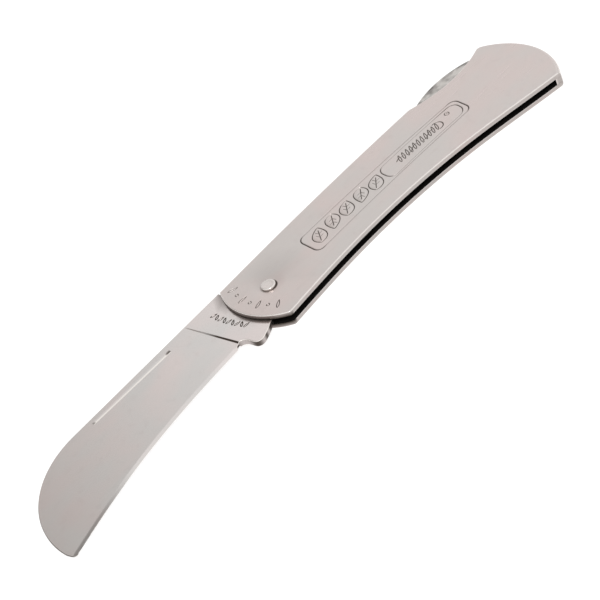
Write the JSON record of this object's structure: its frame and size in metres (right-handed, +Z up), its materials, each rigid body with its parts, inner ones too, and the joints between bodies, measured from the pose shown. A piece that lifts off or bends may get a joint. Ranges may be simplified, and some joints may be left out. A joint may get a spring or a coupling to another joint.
{
  "type": "folding grafting knife",
  "caption": "Folding grafting knife: curved ground blade locked open in a folded sheet-steel handle, with a thumb-release lock bar in the spine.",
  "frame": {"origin": "middle of the open knife's box, on the face of the back cheek that it lies on", "axes": "+X from the blade's tip to the butt, +Y towards the spine of the handle and the blade, +Z up through the thickness, out of the front cheek"},
  "size_m": [0.175, 0.0316, 0.0047],
  "materials": {
    "handle_steel": "satin, fine brushed grain along the handle",
    "blade_steel": "fine satin ground, brighter bevel at the edge",
    "rivet_steel": "smooth, lightly polished",
    "lock_steel": "darker, slightly mottled from heat treatment",
    "spring_steel": "dark spring strip"
  },
  "bodies": {
    "handle": {"handle_shell": "handle_steel", "pivot_rivet": "rivet_steel", "lock_bar_pin": "rivet_steel", "spring_pin": "rivet_steel", "lock_spring": "spring_steel"},
    "blade": {"blade": "blade_steel"},
    "lock_bar": {"lock_bar": "lock_steel"}
  },
  "joints": [
    {"name": "blade_fold", "type": "hinge", "parent": "handle", "child": "blade", "pos_m": [-0.0069, 0.0038, 0], "axis": [0, 0, 1], "range_deg": [0, 167.5], "deforming": ["lock_bar"]},
    {"name": "lock_press", "type": "hinge", "parent": "handle", "child": "lock_bar", "pos_m": [0.0391, 0.0098, 0], "axis": [0, 0, -1], "range_deg": [0, 2], "stiffness_Nm_per_rad": 1.5, "springref_deg": -3.32, "deforming": ["lock_spring"]}
  ]
}
